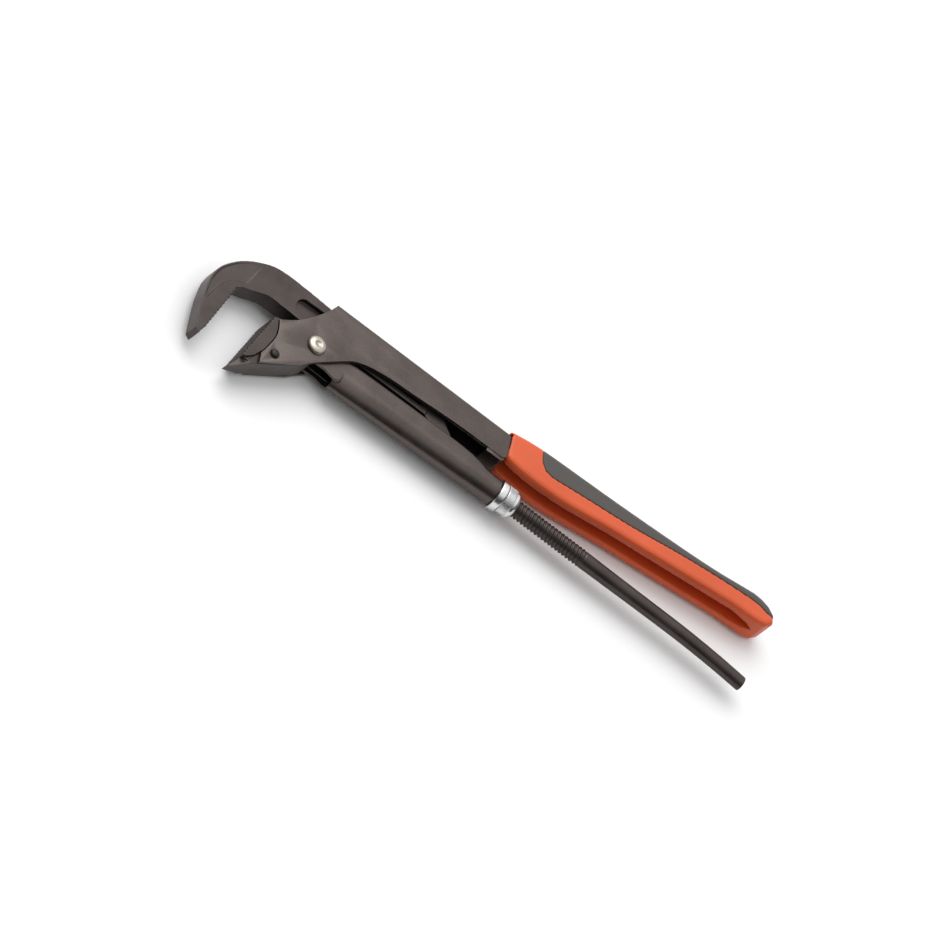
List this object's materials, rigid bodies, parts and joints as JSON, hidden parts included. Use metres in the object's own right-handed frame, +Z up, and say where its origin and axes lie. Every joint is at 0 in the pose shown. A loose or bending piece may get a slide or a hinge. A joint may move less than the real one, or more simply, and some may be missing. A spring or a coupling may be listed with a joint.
{
  "type": "pipe wrench",
  "caption": "Swedish-pattern pipe wrench with a toothed hook jaw on a threaded spindle, a fixed lower jaw, a knurled adjusting nut and a two-colour moulded grip.",
  "frame": {"origin": "bottom centre of the whole wrench's box as it lies on its side", "axes": "+X from the jaws along the spindle to the handle ends, +Y from the spindle towards the moulded grip, +Z up through the wrench's thickness"},
  "size_m": [0.4204, 0.1038, 0.0259],
  "materials": {
    "phosphated_sheet": "dark brown-grey phosphate coat, oiled satin",
    "phosphated_forging": "dark phosphated forging, satin, worn lighter on its edges",
    "bright_rivet": "bright upset steel, slightly warm",
    "nickel": "bright nickel plate, satin",
    "spring_steel": "oil-blackened spring steel",
    "grip_orange": "moulded orange plastic, satin",
    "grip_grey": "soft dark grey rubber, matt"
  },
  "bodies": {
    "frame": {"frame_channel": "phosphated_sheet", "lower_jaw": "phosphated_forging", "lower_jaw_rivet": "phosphated_forging", "pivot_rivet": "bright_rivet", "pivot_bush": "phosphated_forging", "opening_spring": "spring_steel", "grip_shell": "grip_orange", "grip_inlay": "grip_grey"},
    "sleeve": {"sleeve": "phosphated_sheet", "nut_thrust_ring": "nickel", "nut_snap_ring": "spring_steel"},
    "hook": {"hook_jaw": "phosphated_forging", "spindle_rod": "phosphated_forging"},
    "nut": {"adjusting_nut": "nickel"}
  },
  "joints": [
    {"name": "handle_pivot", "type": "hinge", "parent": "frame", "child": "sleeve", "pos_m": [-0.13176, -0.00143, 0.0129], "axis": [0, 0, 1], "range_deg": [-4, 2.5], "stiffness_Nm_per_rad": 6},
    {"name": "jaw_slide", "type": "slide", "parent": "sleeve", "child": "hook", "axis": [1, 0, 0], "range_m": [-0.032, 0.021]},
    {"name": "nut_turn", "type": "hinge", "parent": "sleeve", "child": "nut", "pos_m": [0.02294, -0.00143, 0.0129], "axis": [1, 0, 0], "range_deg": [-2801, 4268]}
  ],
  "couplings": [
    {"joint": "nut_turn", "follows": "jaw_slide", "rad_per_m": -2327.1}
  ]
}
